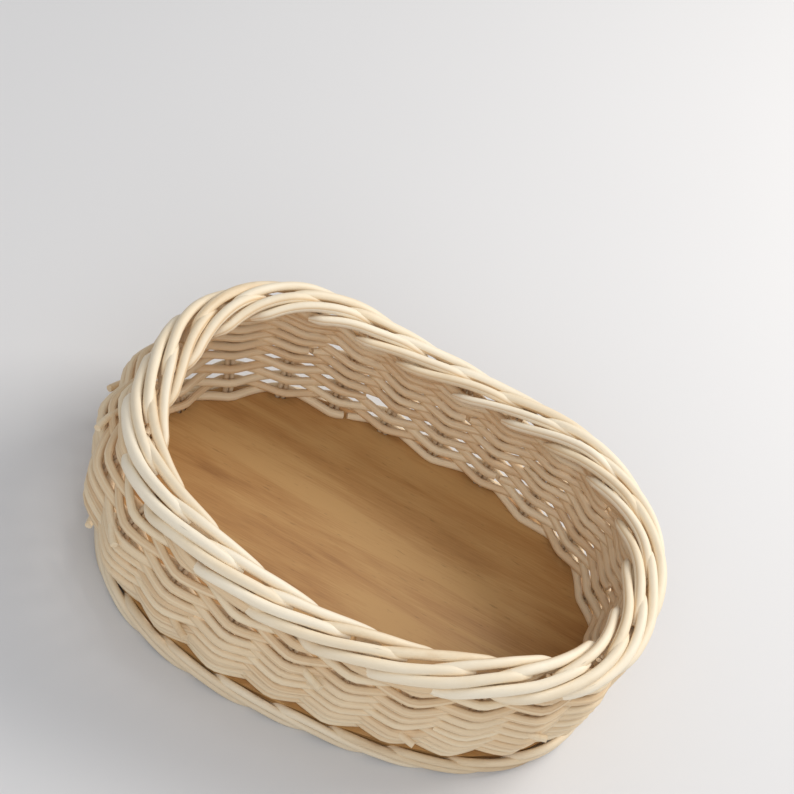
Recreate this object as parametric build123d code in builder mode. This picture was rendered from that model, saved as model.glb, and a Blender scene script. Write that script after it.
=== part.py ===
from build123d import *
from math import cos, pi, sin
import os

os.makedirs("parts", exist_ok=True)

# Millimetres. +X runs along the oval, +Z is up, and the origin is under the middle of the foot.

# Line that the stakes follow: an oval at the base, and how far it stands out at shares of the height
base_half_length = 134.0
base_half_width = 94.0
oval_power = 2.5
end_taper = 0.06
swell_profile = ((0.0, 0.0), (0.3, 6.0), (0.65, 7.0), (1.0, 0.0))
left_bulge_profile = ((0.0, 0.0), (0.3, 8.0), (0.65, 8.0), (1.0, 0.0))
middle_shift = 4.0

# Rods
stake_diameter = 3.0
weaver_diameter = 3.3
wale_diameter = 4.4
foot_diameter = 4.8
rim_diameter = 5.4

# Plywood base
ply_thickness = 4.0
ply_margin = 5.0

# Counts: stakes divide by two for the courses and by three for the wale
stake_count = 24
foot_rows = 2
course_count = 16
wale_rows = 2
rim_rods = 4

# Short pairs of rods that raise an end: course they lie on, end they go round, stakes they cover
short_pairs = ((4, "left", 8), (9, "left", 6), (7, "right", 6))

# Spacing and fits
clearance = 0.25
hole_clearance = 0.3
end_gap = 1.0
bend_radius = 5.0
stake_bend = 8.0
border_bend = 20.0
ramp = 2.0

# Where each rod is laid in, in stake spaces from the right end
weaver_start = 7
wale_start = 4
rim_start = 2
foot_start = {"outer": 3, "inner": 15}
foot_row_step = 5

# Worked out from the sizes above
row_gap = 0.08 * weaver_diameter
apex_rise = 0.57 * stake_diameter
wale_rise = 0.74 * stake_diameter
weave_offset = (stake_diameter + weaver_diameter) / 2 + clearance + apex_rise
wale_offset = (stake_diameter + wale_diameter) / 2 + clearance + wale_rise
foot_offset = (stake_diameter + foot_diameter) / 2 + hole_clearance
pair_half_gap = stake_diameter / 2 + clearance
ply_bottom = foot_rows * (foot_diameter + row_gap)
wall_bottom = ply_bottom + ply_thickness + row_gap
course_pitch = weaver_diameter + row_gap
wale_pitch = wale_diameter + row_gap
rim_pitch = rim_diameter + row_gap
rim_drop = 0.18 * rim_diameter
rim_lift = 0.75 * rim_diameter
stake_bottom = foot_diameter / 2
end_place = {"right": 0.0, "left": stake_count / 2}


def oval_at(turn):
    c = cos(turn) / base_half_length
    s = sin(turn) / base_half_width
    reach = (abs(c) ** oval_power + abs(s) ** oval_power) ** (-1 / oval_power)
    x = reach * cos(turn)
    return Vector(x + middle_shift, reach * sin(turn) * (1 - end_taper * x / base_half_length))


def walk_oval(steps=720):
    """Distance along the oval at evenly spaced turns."""
    corners = [oval_at(2 * pi * i / steps) for i in range(steps + 1)]
    walked = [0.0]
    for start, end in zip(corners, corners[1:]):
        walked.append(walked[-1] + (end - start).length)
    return walked


walked = walk_oval()


def turn_at(place):
    """Turn of a place on the oval, where places count stake spaces from the right end."""
    goal = walked[-1] * (place % stake_count) / stake_count
    i = max(j for j in range(len(walked) - 1) if walked[j] <= goal)
    share = (goal - walked[i]) / (walked[i + 1] - walked[i])
    return 2 * pi * (i + share) / (len(walked) - 1)


def cover(place, end, stakes):
    """1 where a short pair lies, falling smoothly to 0 past its last stakes."""
    away = abs((place - end_place[end] + stake_count / 2) % stake_count - stake_count / 2)
    t = min(max((stakes / 2 + ramp - away) / ramp, 0), 1)
    return t * t * (3 - 2 * t)


# Layers of the wall from the bottom up: kind, rod size, and for a short rod its end and its stakes
layers = []
for course in range(course_count):
    layers.append(("weaver", weaver_diameter, None))
    for after, end, stakes in short_pairs:
        if after == course + 1:
            layers += [("short", weaver_diameter, (end, stakes))] * 2
layers += [("wale", wale_diameter, None)] * wale_rows


def layer_height(place, level):
    """Height of the middle of a layer, or of the top of the wall past the last one."""
    height = wall_bottom
    for i, (kind, diameter, reach) in enumerate(layers[: level + 1]):
        thick = (diameter + row_gap) * (cover(place, *reach) if reach else 1)
        height += thick / 2 if i == level else thick
    return height


def along_profile(profile, share):
    """Value of a profile at a share of the wall's height."""
    for (low, start), (high, end) in zip(profile, profile[1:]):
        if share <= high:
            return start + (end - start) * max(share - low, 0) / (high - low)
    return profile[-1][1]


def swell_at(turn, share):
    """How far the stake line stands out from the base oval. The left end bulges further."""
    leftward = max(-cos(turn), 0) ** 2
    return along_profile(swell_profile, share) + leftward * along_profile(left_bulge_profile, share)


def wall_point(place, along, across, height):
    """Point beside the stake line: along it, across it (outward), at a height."""
    turn = turn_at(place)
    here = oval_at(turn)
    step = 0.001
    run = (oval_at(turn + step) - oval_at(turn - step)).normalized()
    share = (height - wall_bottom) / (layer_height(place, len(layers)) - wall_bottom)
    out = Vector(run.Y, -run.X) * (across + swell_at(turn, share))
    return Vector(here.X + run.X * along + out.X, here.Y + run.Y * along + out.Y, height)


def rod_along(points, diameter, radius=bend_radius):
    """Round rod whose middle follows the points, with a bend at each one between the ends."""
    with BuildPart() as rod:
        with BuildLine() as route:
            FilletPolyline(*points, radius=radius)
        with BuildSketch(Plane(origin=route.line @ 0, z_dir=route.line % 0)):
            Circle(diameter / 2)
        sweep(path=route.line)
    return rod.part


def woven_points(first, spaces, level, offset, outside):
    """Route of a rod over a number of stakes, outside or inside each one as told."""
    points = []
    for k in range(spaces + 1):
        place = first + k + 0.5
        across = offset if outside(k) else -offset
        points.append(wall_point(place, 0, across, layer_height(place, level)))
    if spaces == stake_count:
        back = (points[-2] - points[-1]).normalized()
        points[-1] = points[-1] + back * end_gap
    return points


def plain_points(first, across, height_at):
    """Route of a rod that runs once round beside the stake line, its ends a small gap apart."""
    places = [first + k / 2 for k in range(2 * stake_count)]
    points = []
    for place in places:
        spot = wall_point(place, 0, across, height_at(place))
        points.append(spot)
    back = (points[-1] - points[0]).normalized()
    points.append(points[0] + back * end_gap)
    return points


def keep(part, name):
    part.label = name
    export_step(part, "parts/" + name + ".step")


# Plywood base with a hole for each stake
outline = [wall_point(i / 2, 0, ply_margin, wall_bottom) for i in range(2 * stake_count)]
stake_spots = [
    wall_point(k + 0.5, side, 0, wall_bottom)
    for k in range(stake_count)
    for side in (-pair_half_gap, pair_half_gap)
]
with BuildPart() as plywood_base:
    with BuildSketch(Plane.XY.offset(ply_bottom)):
        with BuildLine():
            FilletPolyline(*[(p.X, p.Y) for p in outline], radius=30, close=True)
        make_face()
        with Locations(*[(p.X, p.Y) for p in stake_spots]):
            Circle(stake_diameter / 2 + hole_clearance, mode=Mode.SUBTRACT)
    extrude(amount=ply_thickness)
keep(plywood_base.part, "plywood_base")

# Stakes: two thin rods side by side in each pair of holes, from the foot up to the rim
quarter = stake_count // 4
for group, side_name in enumerate(("right_end", "back", "left_end", "front")):
    rods = []
    for k in range(quarter):
        place = (group * quarter + k - quarter // 2) % stake_count + 0.5
        top = layer_height(place, len(layers))
        for side in (-pair_half_gap, pair_half_gap):
            foot = wall_point(place, side, 0, stake_bottom)
            heights = [wall_bottom + (top - wall_bottom) * share for share, swell in swell_profile]
            points = [foot] + [wall_point(place, side, 0, height) for height in heights]
            rods.append(rod_along(points, stake_diameter, stake_bend))
    keep(Compound(children=rods), "stakes_" + side_name)

# Foot: rods laid outside and inside the stakes, under the plywood
for row in range(foot_rows):
    middle = foot_diameter / 2 + row * (foot_diameter + row_gap)
    for name, across in (("outer", foot_offset), ("inner", -foot_offset)):
        points = plain_points(foot_start[name] + foot_row_step * row, across, lambda place: middle)
        keep(rod_along(points, foot_diameter, border_bend), "foot_strand_" + name + "_" + str(row + 1))

# Wall: each course passes outside every second pair of stakes, and the next course inside it.
# Short rods do the same round one end, two at a time.
counts = {"weaver": 0, "short": 0, "wale": 0}
short_rods = []
for level, (kind, diameter, reach) in enumerate(layers):
    counts[kind] += 1
    if kind == "weaver":
        first = weaver_start * counts[kind]
        points = woven_points(first, stake_count, level, weave_offset, lambda k: k % 2 == 1)
        keep(rod_along(points, diameter), "weaver_" + str(counts[kind]).zfill(2))
    elif kind == "short":
        end, stakes = reach
        first = int(end_place[end]) - stakes // 2
        flip = (first + counts["weaver"] + counts[kind]) % 2
        points = woven_points(first, stakes - 1, level, weave_offset, lambda k: (k + flip) % 2 == 1)
        short_rods.append(rod_along(points, diameter))
        if len(short_rods) == 2:
            keep(Compound(children=short_rods), "short_weavers_" + end + "_" + str(counts[kind] // 2))
            short_rods = []
    else:
        first = wale_start + weaver_start * counts[kind]
        points = woven_points(first, stake_count, level, wale_offset, lambda k: k % 3 != 0)
        keep(rod_along(points, diameter), "upper_wale_" + str(counts[kind]))

# Rim: four rods side by side over the ends of the stakes, the outer two a little lower
for rod in range(rim_rods):
    row = rod - (rim_rods - 1) / 2
    lift = rim_lift - (rim_drop if rod in (0, rim_rods - 1) else 0)
    first = rim_start + rod * stake_count / rim_rods
    points = plain_points(first, row * rim_pitch, lambda place: layer_height(place, len(layers)) + lift)
    keep(rod_along(points, rim_diameter, border_bend), "rim_strand_" + str(rod + 1))
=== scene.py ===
import bpy
import math
import random
from mathutils import Matrix, Vector


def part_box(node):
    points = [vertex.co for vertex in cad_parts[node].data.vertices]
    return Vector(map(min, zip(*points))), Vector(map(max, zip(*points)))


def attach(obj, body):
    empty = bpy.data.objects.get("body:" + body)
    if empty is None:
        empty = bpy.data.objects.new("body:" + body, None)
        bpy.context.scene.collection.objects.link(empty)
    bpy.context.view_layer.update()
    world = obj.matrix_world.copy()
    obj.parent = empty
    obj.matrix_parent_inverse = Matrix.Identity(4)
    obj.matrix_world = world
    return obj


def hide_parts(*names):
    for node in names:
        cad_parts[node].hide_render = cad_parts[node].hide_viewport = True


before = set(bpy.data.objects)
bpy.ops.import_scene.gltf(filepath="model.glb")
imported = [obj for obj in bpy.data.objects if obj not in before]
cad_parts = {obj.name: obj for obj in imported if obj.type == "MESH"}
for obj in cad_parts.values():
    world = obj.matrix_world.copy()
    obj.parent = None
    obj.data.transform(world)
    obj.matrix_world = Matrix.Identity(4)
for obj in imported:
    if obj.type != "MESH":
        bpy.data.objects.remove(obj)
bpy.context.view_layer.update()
mm = 0.001
rng = random.Random(7)

# The stake line: an oval at the base and how far it stands out at shares of the wall's height.
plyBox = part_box("plywood_base")
basket = {
    "plyMargin": 5.0,
    "power": 2.5,
    "endTaper": 0.06,
    "stakes": 24,
    "swell": ((0.0, 0.0), (0.3, 6.0), (0.65, 7.0), (1.0, 0.0)),
    "leftBulge": ((0.0, 0.0), (0.3, 11.0), (0.65, 12.0), (1.0, 1.5)),
    "middleShift": 4.0,
    "halfWidth": 94.0,
    "rowGap": 0.264,
    "stakePairHalf": 1.65,
}
halfLength = (plyBox[1][0] - plyBox[0][0]) / 2 / mm - basket["plyMargin"]
halfWidth = basket["halfWidth"]
stakeCount = basket["stakes"]
wallBottom = plyBox[1][2] / mm + basket["rowGap"]

# Layers of the wall from the bottom up: node, rod size, and for short rods the end and the stakes.
wall = {
    "rod": 3.3,
    "drawnRod": 4.55,
    "waleRod": 4.4,
    "drawnWale": 5.4,
    "courses": 16,
    "wales": 2,
    "shortPairs": ((4, "left", 8), (9, "left", 6), (7, "right", 6)),
    "ramp": 2.0,
    "offset": 4.6,
    "waleOffset": 5.6,
}
endPlace = {"right": 0.0, "left": stakeCount / 2}


def ovalAt(turn):
    c = math.cos(turn) / halfLength
    s = math.sin(turn) / halfWidth
    reach = (abs(c) ** basket["power"] + abs(s) ** basket["power"]) ** (-1 / basket["power"])
    x = reach * math.cos(turn)
    y = reach * math.sin(turn) * (1 - basket["endTaper"] * x / halfLength)
    return Vector((x + basket["middleShift"], y))


ovalSteps = 1440
walked = [0.0]
for step in range(ovalSteps):
    a = ovalAt(2 * math.pi * step / ovalSteps)
    b = ovalAt(2 * math.pi * (step + 1) / ovalSteps)
    walked.append(walked[-1] + (b - a).length)


def turnAt(place):
    goal = walked[-1] * (place % stakeCount) / stakeCount
    low, high = 0, ovalSteps
    while high - low > 1:
        mid = (low + high) // 2
        if walked[mid] <= goal:
            low = mid
        else:
            high = mid
    share = (goal - walked[low]) / (walked[low + 1] - walked[low])
    return 2 * math.pi * (low + share) / ovalSteps


def cover(place, end, stakes):
    away = abs((place - endPlace[end] + stakeCount / 2) % stakeCount - stakeCount / 2)
    t = min(max((stakes / 2 + wall["ramp"] - away) / wall["ramp"], 0), 1)
    return t * t * (3 - 2 * t)


layers = []
for course in range(wall["courses"]):
    layers.append(("weaver", wall["rod"], None))
    for after, end, stakes in wall["shortPairs"]:
        if after == course + 1:
            layers += [("short", wall["rod"], (end, stakes))] * 2
layers += [("wale", wall["waleRod"], None)] * wall["wales"]


def layerHeight(place, level):
    height = wallBottom
    for i, (kind, diameter, reach) in enumerate(layers[: level + 1]):
        thick = (diameter + basket["rowGap"]) * (cover(place, *reach) if reach else 1)
        height += thick / 2 if i == level else thick
    return height


def wallTop(place):
    return layerHeight(place, len(layers))


def alongProfile(profile, share):
    for (low, start), (high, end) in zip(profile, profile[1:]):
        if share <= high:
            t = max(share - low, 0) / (high - low)
            return start + (end - start) * t
    return profile[-1][1]


# the left end bulges further than the rest
def swellAt(turn, share):
    leftward = max(-math.cos(turn), 0) ** 2
    return alongProfile(basket["swell"], share) + leftward * alongProfile(basket["leftBulge"], share)


def wallPoint(place, along, across, height):
    turn = turnAt(place)
    here = ovalAt(turn)
    run = (ovalAt(turn + 0.001) - ovalAt(turn - 0.001)).normalized()
    share = (height - wallBottom) / (wallTop(place) - wallBottom)
    out = Vector((run.y, -run.x)) * (across + swellAt(turn, share))
    spot = here + run * along + out
    return Vector((spot.x, spot.y, height)) * mm


# Wobble that stays the same from run to run: a few slow waves with seeded phases.
def makeWobble(waves=4, top=9.0):
    parts = []
    for wave in range(waves):
        parts.append((rng.uniform(1.0, top), rng.uniform(0, 2 * math.pi), rng.uniform(0.4, 1.0)))
    total = sum(p[2] for p in parts)
    return lambda t: sum(w * math.sin(2 * math.pi * f * t + ph) for f, ph, w in parts) / total


rodNumber = 0


# One rod: a curve with a round section made into a mesh. UV runs round it and along it in metres,
# and "tone" holds how far it is into the painted shade, in tan, where a rod end tucks under its neighbour.
def layRod(name, points, radii, sides=3, tuckShadeAt=None):
    global rodNumber
    rodNumber += 1
    bpy.ops.object.select_all(action="DESELECT")
    bpy.ops.curve.primitive_nurbs_path_add()
    rod = bpy.context.object
    rod.name = name
    path = rod.data
    path.splines.clear()
    line = path.splines.new("POLY")
    line.points.add(len(points) - 1)
    for knot, spot, radius in zip(line.points, points, radii):
        knot.co = (*spot, 1)
        knot.radius = radius
    path.bevel_depth = mm
    path.bevel_resolution = sides
    path.use_fill_caps = True
    bpy.ops.object.convert(target="MESH")
    rod = bpy.context.object
    length = sum((b - a).length for a, b in zip(points, points[1:]))
    tone = rod.data.attributes.new("tone", "FLOAT", "CORNER")
    for index, corner in enumerate(rod.data.uv_layers[0].data):
        if tuckShadeAt:
            tone.data[index].value = tuckShadeAt(corner.uv[1])
        corner.uv = (corner.uv[0] + 2 * rodNumber, corner.uv[1] * length)
    for face in rod.data.polygons:
        face.use_smooth = len(face.vertices) == 4
        face.material_index = 0 if len(face.vertices) == 4 else 1
    return rod


def joinRods(rods, name):
    bpy.ops.object.select_all(action="DESELECT")
    for rod in rods:
        rod.select_set(True)
    bpy.context.view_layer.objects.active = rods[0]
    if len(rods) > 1:
        bpy.ops.object.join()
    piece = bpy.context.object
    piece.name = name
    piece.data.name = name
    return piece


# knots are (t, value, value), eased through each one
def smoothLine(knots, t):
    i = max(j for j in range(len(knots) - 1) if knots[j][0] <= t or j == 0)
    p1, p2 = knots[i], knots[i + 1]
    p0 = knots[max(i - 1, 0)]
    p3 = knots[min(i + 2, len(knots) - 1)]
    s = min(max((t - p1[0]) / (p2[0] - p1[0]), 0), 1)
    values = []
    for c in range(1, len(p1)):
        m1 = (p2[c] - p0[c]) / max(p2[0] - p0[0], 1e-6) * (p2[0] - p1[0])
        m2 = (p3[c] - p1[c]) / max(p3[0] - p1[0], 1e-6) * (p2[0] - p1[0])
        h = (2 * s**3 - 3 * s**2 + 1) * p1[c] + (s**3 - 2 * s**2 + s) * m1
        h += (-2 * s**3 + 3 * s**2) * p2[c] + (s**3 - s**2) * m2
        values.append(h)
    return values


# Materials


def newMaterial(name):
    material = bpy.data.materials.new(name)
    material.use_nodes = True
    nodes = material.node_tree.nodes
    return material, nodes, material.node_tree.links, nodes["Principled BSDF"]


def ramp(nodes, stops):
    node = nodes.new("ShaderNodeValToRGB")
    while len(node.color_ramp.elements) < len(stops):
        node.color_ramp.elements.new(0.5)
    for element, (place, colour) in zip(node.color_ramp.elements, stops):
        element.position = place
        element.color = (*colour, 1)
    return node


def mathNode(nodes, kind, *values):
    node = nodes.new("ShaderNodeMath")
    node.operation = kind
    for index, value in enumerate(values):
        node.inputs[index].default_value = value
    return node


# A noise drawn out along one direction
def stretched(nodes, links, source, scale, detail=3.0, rough=0.5, distortion=0.0):
    mapping = nodes.new("ShaderNodeMapping")
    mapping.inputs["Scale"].default_value = scale
    links.new(source, mapping.inputs[0])
    noise = nodes.new("ShaderNodeTexNoise")
    noise.inputs["Scale"].default_value = 1.0
    noise.inputs["Detail"].default_value = detail
    noise.inputs["Roughness"].default_value = rough
    noise.inputs["Distortion"].default_value = distortion
    links.new(mapping.outputs[0], noise.inputs["Vector"])
    return noise.outputs["Fac"]


def ranged(nodes, links, source, low, high, toLow=0.0, toHigh=1.0):
    node = nodes.new("ShaderNodeMapRange")
    node.inputs["From Min"].default_value = low
    node.inputs["From Max"].default_value = high
    node.inputs["To Min"].default_value = toLow
    node.inputs["To Max"].default_value = toHigh
    links.new(source, node.inputs["Value"])
    return node.outputs["Result"]


def mixed(nodes, links, kind, factor, a, b):
    node = nodes.new("ShaderNodeMix")
    node.data_type = "RGBA"
    node.blend_type = kind
    if isinstance(factor, float):
        node.inputs["Factor"].default_value = factor
    else:
        links.new(factor, node.inputs["Factor"])
    links.new(a, node.inputs["A"])
    if isinstance(b, tuple):
        node.inputs["B"].default_value = (*b, 1)
    else:
        links.new(b, node.inputs["B"])
    return node.outputs["Result"]


# Four copies of one peeled willow. The rim's colours are paler as painted light on the top that faces the
# lamp. The stakes' colours are darker as painted shade in the gaps between weavers. The foot's colours are
# slightly darker as painted shade low under the wall.
willowLooks = {
    "wall": {
        "pale": (0.87, 0.72, 0.50),
        "mid": (0.77, 0.57, 0.35),
        "dark": (0.56, 0.35, 0.18),
        "tuckShadeTan": (0.62, 0.40, 0.18),
    },
    "rim": {
        "pale": (0.93, 0.82, 0.64),
        "mid": (0.86, 0.71, 0.50),
        "dark": (0.68, 0.48, 0.27),
        "tuckShadeTan": (0.66, 0.42, 0.19),
    },
    "stake": {
        "pale": (0.74, 0.58, 0.39),
        "mid": (0.62, 0.44, 0.27),
        "dark": (0.45, 0.28, 0.15),
        "tuckShadeTan": (0.50, 0.30, 0.14),
    },
    "foot": {
        "pale": (0.84, 0.71, 0.52),
        "mid": (0.74, 0.58, 0.38),
        "dark": (0.56, 0.38, 0.21),
        "tuckShadeTan": (0.55, 0.35, 0.16),
    },
}
willowGrain = {
    "streak": (6.0, 40.0, 1.0),
    "drift": (0.8, 14.0, 1.0),
    "fibre": (30.0, 60.0, 1.0),
    "ticks": (1.5, 900.0, 1.0),
    "flecks": (3.0, 60.0, 1.0),
    "bump": 0.22,
    "tickBump": 0.10,
}


def willowMaterial(name, look):
    material, nodes, links, shader = newMaterial(name)
    uv = nodes.new("ShaderNodeUVMap").outputs[0]
    split = nodes.new("ShaderNodeSeparateXYZ")
    links.new(uv, split.inputs[0])
    # one tint for each rod, from the whole number in its U
    whole = mathNode(nodes, "FLOOR")
    links.new(split.outputs[0], whole.inputs[0])
    tint = nodes.new("ShaderNodeTexWhiteNoise")
    tint.noise_dimensions = "1D"
    links.new(whole.outputs[0], tint.inputs["W"])
    streak = stretched(nodes, links, uv, willowGrain["streak"], 6.0, 0.65)
    drift = stretched(nodes, links, uv, willowGrain["drift"], 3.0)
    blend = mathNode(nodes, "MULTIPLY_ADD", 0, 0.55)
    links.new(streak, blend.inputs[0])
    links.new(drift, blend.inputs[2])
    total = mathNode(nodes, "MULTIPLY_ADD", 0, 0.38)
    links.new(tint.outputs["Value"], total.inputs[0])
    links.new(blend.outputs[0], total.inputs[2])
    colours = ramp(nodes, [(0.0, look["dark"]), (0.35, look["mid"]), (0.8, look["pale"])])
    links.new(ranged(nodes, links, total.outputs[0], 0.45, 1.35), colours.inputs[0])
    # small dark flecks and leaf scars
    fleckPlace = nodes.new("ShaderNodeMapping")
    fleckPlace.inputs["Scale"].default_value = willowGrain["flecks"]
    links.new(uv, fleckPlace.inputs[0])
    fleck = nodes.new("ShaderNodeTexVoronoi")
    fleck.inputs["Scale"].default_value = 1.0
    links.new(fleckPlace.outputs[0], fleck.inputs["Vector"])
    spots = ranged(nodes, links, fleck.outputs["Distance"], 0.02, 0.10, 0.66, 1.0)
    speckled = mixed(nodes, links, "MULTIPLY", 1.0, colours.outputs[0], spots)
    # fine pale cracks across the rod where it bends
    ticks = stretched(nodes, links, uv, willowGrain["ticks"], 2.0)
    crackShare = ranged(nodes, links, ticks, 0.60, 0.72, 0.0, 0.30)
    cracked = mixed(nodes, links, "MIX", crackShare, speckled, look["pale"])
    # painted shade: tan where a rod end tucks under or comes out from under the next strand
    tone = nodes.new("ShaderNodeAttribute")
    tone.attribute_name = "tone"
    tuckShaded = mixed(nodes, links, "MIX", tone.outputs["Fac"], cracked, look["tuckShadeTan"])
    links.new(tuckShaded, shader.inputs["Base Color"])
    fibre = stretched(nodes, links, uv, willowGrain["fibre"], 4.0)
    bump = nodes.new("ShaderNodeBump")
    bump.inputs["Strength"].default_value = willowGrain["bump"]
    bump.inputs["Distance"].default_value = 0.0006
    links.new(fibre, bump.inputs["Height"])
    tickBump = nodes.new("ShaderNodeBump")
    tickBump.inputs["Strength"].default_value = willowGrain["tickBump"]
    tickBump.inputs["Distance"].default_value = 0.0003
    links.new(ticks, tickBump.inputs["Height"])
    links.new(bump.outputs[0], tickBump.inputs["Normal"])
    links.new(tickBump.outputs[0], shader.inputs["Normal"])
    links.new(ranged(nodes, links, streak, 0.0, 1.0, 0.42, 0.62), shader.inputs["Roughness"])
    shader.inputs["Specular IOR Level"].default_value = 0.35
    return material


cutLook = {"pith": (0.80, 0.66, 0.46), "edge": (0.52, 0.35, 0.18)}


# Cut rod ends: pale pith with darker fibres
def cutEndMaterial():
    material, nodes, links, shader = newMaterial("cutWillowEnds")
    place = nodes.new("ShaderNodeTexCoord").outputs["Object"]
    grain = stretched(nodes, links, place, (900.0, 900.0, 900.0), 4.0, 0.7)
    colours = ramp(nodes, [(0.35, cutLook["edge"]), (0.62, cutLook["pith"])])
    links.new(grain, colours.inputs[0])
    links.new(colours.outputs[0], shader.inputs["Base Color"])
    bump = nodes.new("ShaderNodeBump")
    bump.inputs["Strength"].default_value = 0.4
    bump.inputs["Distance"].default_value = 0.0004
    links.new(grain, bump.inputs["Height"])
    links.new(bump.outputs[0], shader.inputs["Normal"])
    shader.inputs["Roughness"].default_value = 0.8
    return material


# The wall willow is the base colour. The rim copy carries painted light, and the stake and foot copies carry
# painted shade.
wallWillow = willowMaterial("peeledWillowWall", willowLooks["wall"])
rimWillowPaintedLight = willowMaterial("peeledWillowRimPaintedLight", willowLooks["rim"])
stakeWillowPaintedShade = willowMaterial("peeledWillowStakesPaintedShade", willowLooks["stake"])
footWillowPaintedShade = willowMaterial("peeledWillowFootPaintedShade", willowLooks["foot"])
cutWillow = cutEndMaterial()

plyLook = {
    "pale": (0.55, 0.32, 0.12),
    "mid": (0.46, 0.24, 0.08),
    "dark": (0.34, 0.16, 0.05),
    "slant": math.radians(4),
    "bands": (9.0, 60.0, 60.0),
    "fine": (60.0, 1400.0, 1400.0),
    "pores": (120.0, 700.0, 700.0),
    "edgeBands": (14.0, 14.0, 700.0),
}


def plywoodMaterial():
    material, nodes, links, shader = newMaterial("birchPlywood")
    turn = nodes.new("ShaderNodeMapping")
    turn.inputs["Rotation"].default_value = (0, 0, plyLook["slant"])
    links.new(nodes.new("ShaderNodeTexCoord").outputs["Object"], turn.inputs[0])
    place = turn.outputs[0]
    bands = stretched(nodes, links, place, plyLook["bands"], 5.0, 0.5, 0.6)
    fine = stretched(nodes, links, place, plyLook["fine"], 4.0)
    pores = stretched(nodes, links, place, plyLook["pores"], 2.0)
    both = mathNode(nodes, "MULTIPLY_ADD", 0, 0.35)
    links.new(fine, both.inputs[0])
    links.new(bands, both.inputs[2])
    colours = ramp(nodes, [(0.0, plyLook["dark"]), (0.35, plyLook["mid"]), (0.75, plyLook["pale"])])
    links.new(ranged(nodes, links, both.outputs[0], 0.42, 0.92), colours.inputs[0])
    poreTone = ranged(nodes, links, pores, 0.66, 0.74, 1.0, 0.78)
    face = mixed(nodes, links, "MULTIPLY", 1.0, colours.outputs[0], poreTone)
    # the glued layers show on the edge, where the surface stands upright
    plies = stretched(nodes, links, place, plyLook["edgeBands"], 1.0)
    edge = ramp(nodes, [(0.42, plyLook["dark"]), (0.55, plyLook["pale"])])
    links.new(plies, edge.inputs[0])
    shape = nodes.new("ShaderNodeNewGeometry")
    up = nodes.new("ShaderNodeSeparateXYZ")
    links.new(shape.outputs["Normal"], up.inputs[0])
    flat = mathNode(nodes, "ABSOLUTE")
    links.new(up.outputs[2], flat.inputs[0])
    whole = mixed(nodes, links, "MIX", ranged(nodes, links, flat.outputs[0], 0.4, 0.6), edge.outputs[0], face)
    links.new(whole, shader.inputs["Base Color"])
    bump = nodes.new("ShaderNodeBump")
    bump.inputs["Strength"].default_value = 0.12
    bump.inputs["Distance"].default_value = 0.0004
    links.new(fine, bump.inputs["Height"])
    links.new(bump.outputs[0], shader.inputs["Normal"])
    links.new(ranged(nodes, links, bands, 0.3, 0.7, 0.42, 0.56), shader.inputs["Roughness"])
    return material


plywood = bpy.data.objects.get("plywood_base")
plywoodLook = plywoodMaterial()
for slot in plywood.material_slots:
    slot.material = plywoodLook


def finishPiece(piece, slot, material, *nodesReplaced):
    piece.data.materials.clear()
    piece.data.materials.append(material)
    piece.data.materials.append(cutWillow)
    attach(piece, "root")
    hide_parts(*nodesReplaced)


# Woven rods
weave = {"samples": 8, "sharp": 0.965, "taper": 0.10, "lift": 0.22, "swing": 0.35, "thick": 0.06,
         "rodStart": 7, "waleStart": 4, "longBow": 0.06, "thinEnd": 0.35, "butt": 1.04}


def zigzag(x):
    return math.asin(weave["sharp"] * math.cos(math.pi * x)) / math.asin(weave["sharp"])


def wovenRod(name, first, spaces, level, offset, sideAt, diameter, lead, trail, reach=None):
    lift, swing, thick = makeWobble(), makeWobble(5, 14), makeWobble(4, 12)
    count = int((spaces + lead + trail) * weave["samples"])
    points, radii = [], []
    for i in range(count + 1):
        t = i / count
        k = -lead + (spaces + lead + trail) * t
        place = first + k + 0.5
        across = offset * sideAt(k) + weave["swing"] * swing(t)
        height = layerHeight(place, level) + weave["lift"] * lift(t)
        points.append(wallPoint(place, 0, across, height))
        thin = weave["thinEnd"] + (1 - weave["thinEnd"]) * cover(place, *reach) if reach else 1
        size = weave["butt"] - weave["taper"] * (t - 0.3) + weave["thick"] * thick(t)
        radii.append(thin * diameter / 2 * size)
    radii[0] *= 0.9
    radii[-1] *= 0.8
    return layRod(name, points, radii)


# Cut ends of joined rods, left poking out of the wall: course and place
buttEnds = {
    "at": (
        (4, 13.3), (7, 15.6), (9, 11.4), (11, 14.2), (12, 17.7),
        (6, 19.4), (13, 12.6), (8, 21.3), (10, 2.4), (5, 6.7),
    ),
    "run": 0.42,
    "out": 9.2,
    "diameter": 3.9,
}


def buttEnd(place, level):
    points, radii = [], []
    for i in range(7):
        t = i / 6
        across = buttEnds["out"] * t ** 0.8
        height = layerHeight(place, level) + 1.1 * t
        points.append(wallPoint(place + buttEnds["run"] * t, 0, across, height))
        radii.append(buttEnds["diameter"] / 2)
    return layRod("buttEnd", points, radii)


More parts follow.
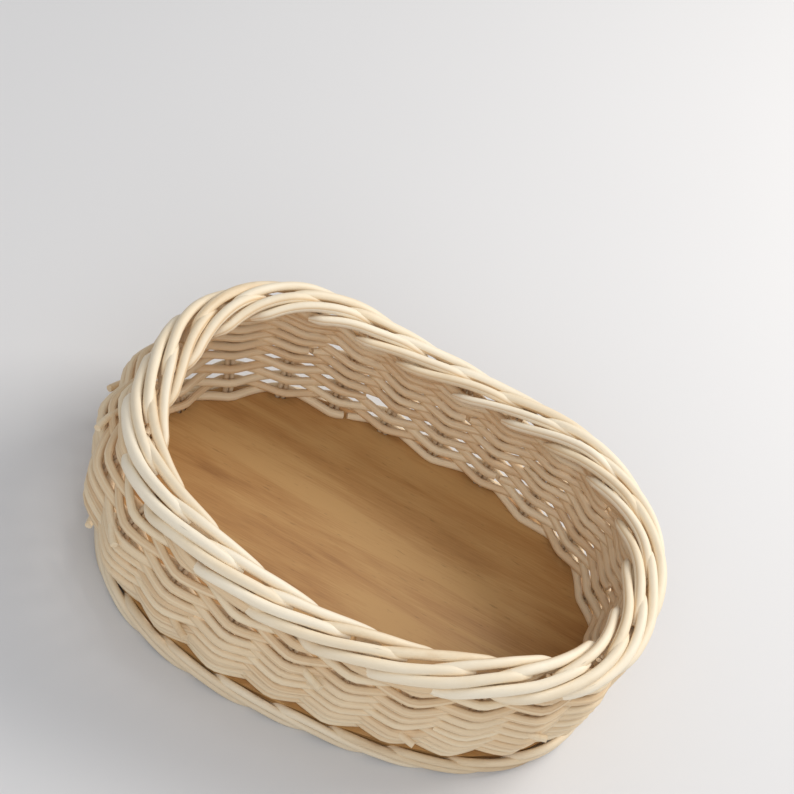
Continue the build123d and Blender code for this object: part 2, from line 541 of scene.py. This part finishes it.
counts = {"weaver": 0, "short": 0, "wale": 0}
pendingShort = []
for level, (kind, diameter, reach) in enumerate(layers):
    counts[kind] += 1
    if kind == "weaver":
        number = counts[kind]
        rod = wovenRod("course" + str(number), weave["rodStart"] * number, stakeCount, level, wall["offset"],
                       lambda k: -zigzag(k), wall["drawnRod"], 0.2, -0.28)
        rods = [rod] + [buttEnd(place, level) for course, place in buttEnds["at"] if course == number]
        piece = joinRods(rods, "weaverRod_" + str(number).zfill(2))
        finishPiece(piece, "wall_willow", wallWillow, "weaver_" + str(number).zfill(2))
    elif kind == "short":
        end, stakes = reach
        first = int(endPlace[end]) - stakes // 2
        flip = (first + counts["weaver"] + counts[kind]) % 2
        rod = wovenRod("short", first, stakes - 1, level, wall["offset"],
                       lambda k: -zigzag(k + flip), wall["drawnRod"], 1.45, 1.45, reach)
        pendingShort.append(rod)
        if len(pendingShort) == 2:
            label = end + "_" + str(counts[kind] // 2)
            piece = joinRods(pendingShort, "shortRods_" + label)
            finishPiece(piece, "wall_willow", wallWillow, "short_weavers_" + label)
            pendingShort = []
    else:
        number = counts[kind]

        def overTwo(k):
            x = k % 3
            if x < 1:
                return -zigzag(x)
            if x < 2:
                return 1 + weave["longBow"] * math.sin(math.pi * (x - 1))
            return -zigzag(x - 3)

        rod = wovenRod("wale", weave["waleStart"] + weave["rodStart"] * number, stakeCount, level,
                       wall["waleOffset"], overTwo, wall["drawnWale"], 0.2, -0.3)
        piece = joinRods([rod], "waleRod_" + str(number))
        finishPiece(piece, "wall_willow", wallWillow, "upper_wale_" + str(number))
print("wall woven", rodNumber)

# Stakes, two thin rods at each pair of holes
stakeRods = {"diameter": 3.0, "low": 2.6, "knots": 12, "wander": 0.15}
quarter = stakeCount // 4
for group, side in enumerate(("right_end", "back", "left_end", "front")):
    rods = []
    for k in range(quarter):
        place = (group * quarter + k - quarter // 2) % stakeCount + 0.5
        top = wallTop(place)
        for along in (-basket["stakePairHalf"], basket["stakePairHalf"]):
            wander = makeWobble(3, 2.0)
            points, radii = [], []
            for i in range(stakeRods["knots"] + 1):
                height = stakeRods["low"] + (top + 1.0 - stakeRods["low"]) * i / stakeRods["knots"]
                aside = along + stakeRods["wander"] * wander(i / stakeRods["knots"])
                points.append(wallPoint(place, aside, 0.0, height))
                radii.append(stakeRods["diameter"] / 2 * (1.02 - 0.06 * i / stakeRods["knots"]))
            rods.append(layRod("stake", points, radii, 2))
    piece = joinRods(rods, "stakeRods_" + side)
    finishPiece(piece, "stake_willow", stakeWillowPaintedShade, "stakes_" + side)
print("stakes set")

# Rim: each stake's rod comes out in front, rolls over the top and dives under the next one along,
# and a second rod rises there, crosses the top and ends inside
rimRod = {
    "diameter": 6.0,
    "over": ((-0.12, -2.4, -10.0), (0.2, 5.4, -6.8), (0.5, 9.4, -1.8), (1.0, 9.2, 1.6),
             (1.5, 7.2, 3.6), (2.0, 4.0, 4.8), (2.35, 1.8, 4.4), (2.75, -0.6, 1.2)),
    "under": ((-0.05, 2.4, 0.2), (0.2, 0.9, 3.0), (0.55, -1.6, 5.0), (1.0, -4.4, 4.6),
              (1.5, -7.2, 2.8), (2.0, -9.2, -0.6), (2.35, -8.8, -5.0)),
    "samples": 36,
    "wander": 0.4,
}


# Rods of a rolled border, one from each stake, along a route of (stake spaces, across, height)
def borderRods(name, route, diameter, samples, wander, baseAt, reachSpread, tipShadeAt):
    rods = []
    for k in range(stakeCount):
        start, end = route[0][0], route[-1][0]
        reach = (end - start) * rng.uniform(1 - reachSpread, 1.0)
        aside, lift, thick = makeWobble(3, 3), makeWobble(3, 3), makeWobble(3, 3)
        size = diameter * rng.uniform(0.92, 1.05)
        slip = rng.uniform(-0.06, 0.06)
        points, radii = [], []
        for i in range(samples + 1):
            t = start + reach * i / samples
            across, high = smoothLine(route, t)
            place = k + 0.5 + t + slip
            height = max(baseAt(place) + high + wander * lift(t / 4), size / 2)
            points.append(wallPoint(place, 0, across + wander * aside(t / 4), height))
            radii.append(size / 2 * (1.03 - 0.12 * i / samples + 0.03 * thick(t / 4)))
        for index, share in enumerate((0.45, 0.68, 0.86)):
            radii[-1 - index] *= share
        for index, share in enumerate((0.5, 0.75, 0.92)):
            radii[index] *= share
        rods.append(layRod(name, points, radii, 4, tipShadeAt))
    return rods


# Painted shade along a border rod: tan at the tip that tucks under the next strand, and at the start that
# comes out from under one.
def tanTip(v):
    t = min(max((v - 0.86) / 0.12, 0), 1)
    return 0.75 * t * t * (3 - 2 * t)


def tanStart(v):
    return 0.8 * max(1 - v / 0.10, 0)


rods = borderRods("rimOver", rimRod["over"], rimRod["diameter"], rimRod["samples"], rimRod["wander"],
                  wallTop, 0.03, tanTip)
rods += borderRods("rimUnder", rimRod["under"], rimRod["diameter"] * 0.96, rimRod["samples"],
                   rimRod["wander"], wallTop, 0.06, tanStart)
piece = joinRods(rods, "rimBorder")
finishPiece(piece, "rim_willow", rimWillowPaintedLight, "rim_strand_1", "rim_strand_2", "rim_strand_3", "rim_strand_4")
print("rim rolled")

# Foot: the lower ends of the stakes roll round the outside of the plywood's edge and under it
footRod = {
    "diameter": 4.5,
    "route": ((0.0, 1.5, 8.0), (0.25, 6.2, 11.2), (0.5, 7.8, 12.6), (1.2, 8.3, 9.9),
              (1.9, 8.1, 6.1), (2.5, 7.2, 2.8), (2.9, 4.4, 2.4), (3.2, 1.4, 2.4)),
    "samples": 36,
    "wander": 0.3,
}
rods = borderRods("footRod", footRod["route"], footRod["diameter"], footRod["samples"], footRod["wander"],
                  lambda place: 0.0, 0.05, tanTip)
piece = joinRods(rods, "footBorder")
finishPiece(piece, "foot_willow", footWillowPaintedShade, "foot_strand_outer_1", "foot_strand_outer_2",
            "foot_strand_inner_1", "foot_strand_inner_2")
print("foot rolled")

# Floor, lamps and camera
stage = {"floor": (0.72, 0.71, 0.705), "world": (0.92, 0.95, 1.0), "worldStrength": 0.50}


def floorMaterial():
    material, nodes, links, shader = newMaterial("paleFloor")
    place = nodes.new("ShaderNodeTexCoord")
    cloud = nodes.new("ShaderNodeTexNoise")
    cloud.inputs["Scale"].default_value = 3.0
    links.new(place.outputs["Object"], cloud.inputs["Vector"])
    tone = ramp(nodes, [(0.3, tuple(c * 0.985 for c in stage["floor"])), (0.7, stage["floor"])])
    links.new(cloud.outputs["Fac"], tone.inputs[0])
    links.new(tone.outputs[0], shader.inputs["Base Color"])
    shader.inputs["Roughness"].default_value = 0.9
    return material


bpy.ops.object.select_all(action="DESELECT")
bpy.ops.mesh.primitive_plane_add(size=6, location=(0, 0, 0))
floor = bpy.context.object
floor.name = "paleFloor"
floor.data.materials.append(floorMaterial())

world = bpy.data.worlds.new("softRoom")
bpy.context.scene.world = world
world.use_nodes = True
world.node_tree.nodes["Background"].inputs[0].default_value = (*stage["world"], 1)
world.node_tree.nodes["Background"].inputs[1].default_value = stage["worldStrength"]

lamps = (
    {"name": "windowLamp", "at": (0.75, 0.75, 0.95), "size": 0.8, "power": 14, "colour": (1.0, 0.97, 0.93)},
    {"name": "fillLamp", "at": (0.1, -0.9, 0.9), "size": 0.9, "power": 4.5, "colour": (0.95, 0.97, 1.0)},
)
for lamp in lamps:
    bpy.ops.object.light_add(type="AREA", location=lamp["at"])
    light = bpy.context.object
    light.name = lamp["name"]
    light.data.size = lamp["size"]
    light.data.energy = lamp["power"]
    light.data.color = lamp["colour"]
    aim = Vector((0, 0, 0.04)) - Vector(lamp["at"])
    light.rotation_euler = aim.to_track_quat("-Z", "Y").to_euler()

view = {
    "azimuth": -3.0,
    "elevation": 47.7,
    "distance": 1.089,
    "roll": 27.5,
    "target": (-0.0150, 0.1122, 0.0265),
    "lens": 85.6,
}
az, el, roll = (math.radians(view[k]) for k in ("azimuth", "elevation", "roll"))
back = Vector((math.sin(az) * math.cos(el), -math.cos(az) * math.cos(el), math.sin(el)))
right = Vector((0, 0, 1)).cross(back).normalized()
up = back.cross(right)
rolledRight = right * math.cos(roll) + up * math.sin(roll)
rolledUp = up * math.cos(roll) - right * math.sin(roll)
bpy.ops.object.camera_add()
camera = bpy.context.object
camera.name = "mainCamera"
camera.matrix_world = Matrix.Translation(Vector(view["target"]) + back * view["distance"]) @ Matrix(
    (rolledRight, rolledUp, back)).transposed().to_4x4()
camera.data.lens = view["lens"]
camera.data.sensor_width = 36
bpy.context.scene.camera = camera
bpy.context.scene.view_settings.view_transform = "Standard"
print("stage lit")
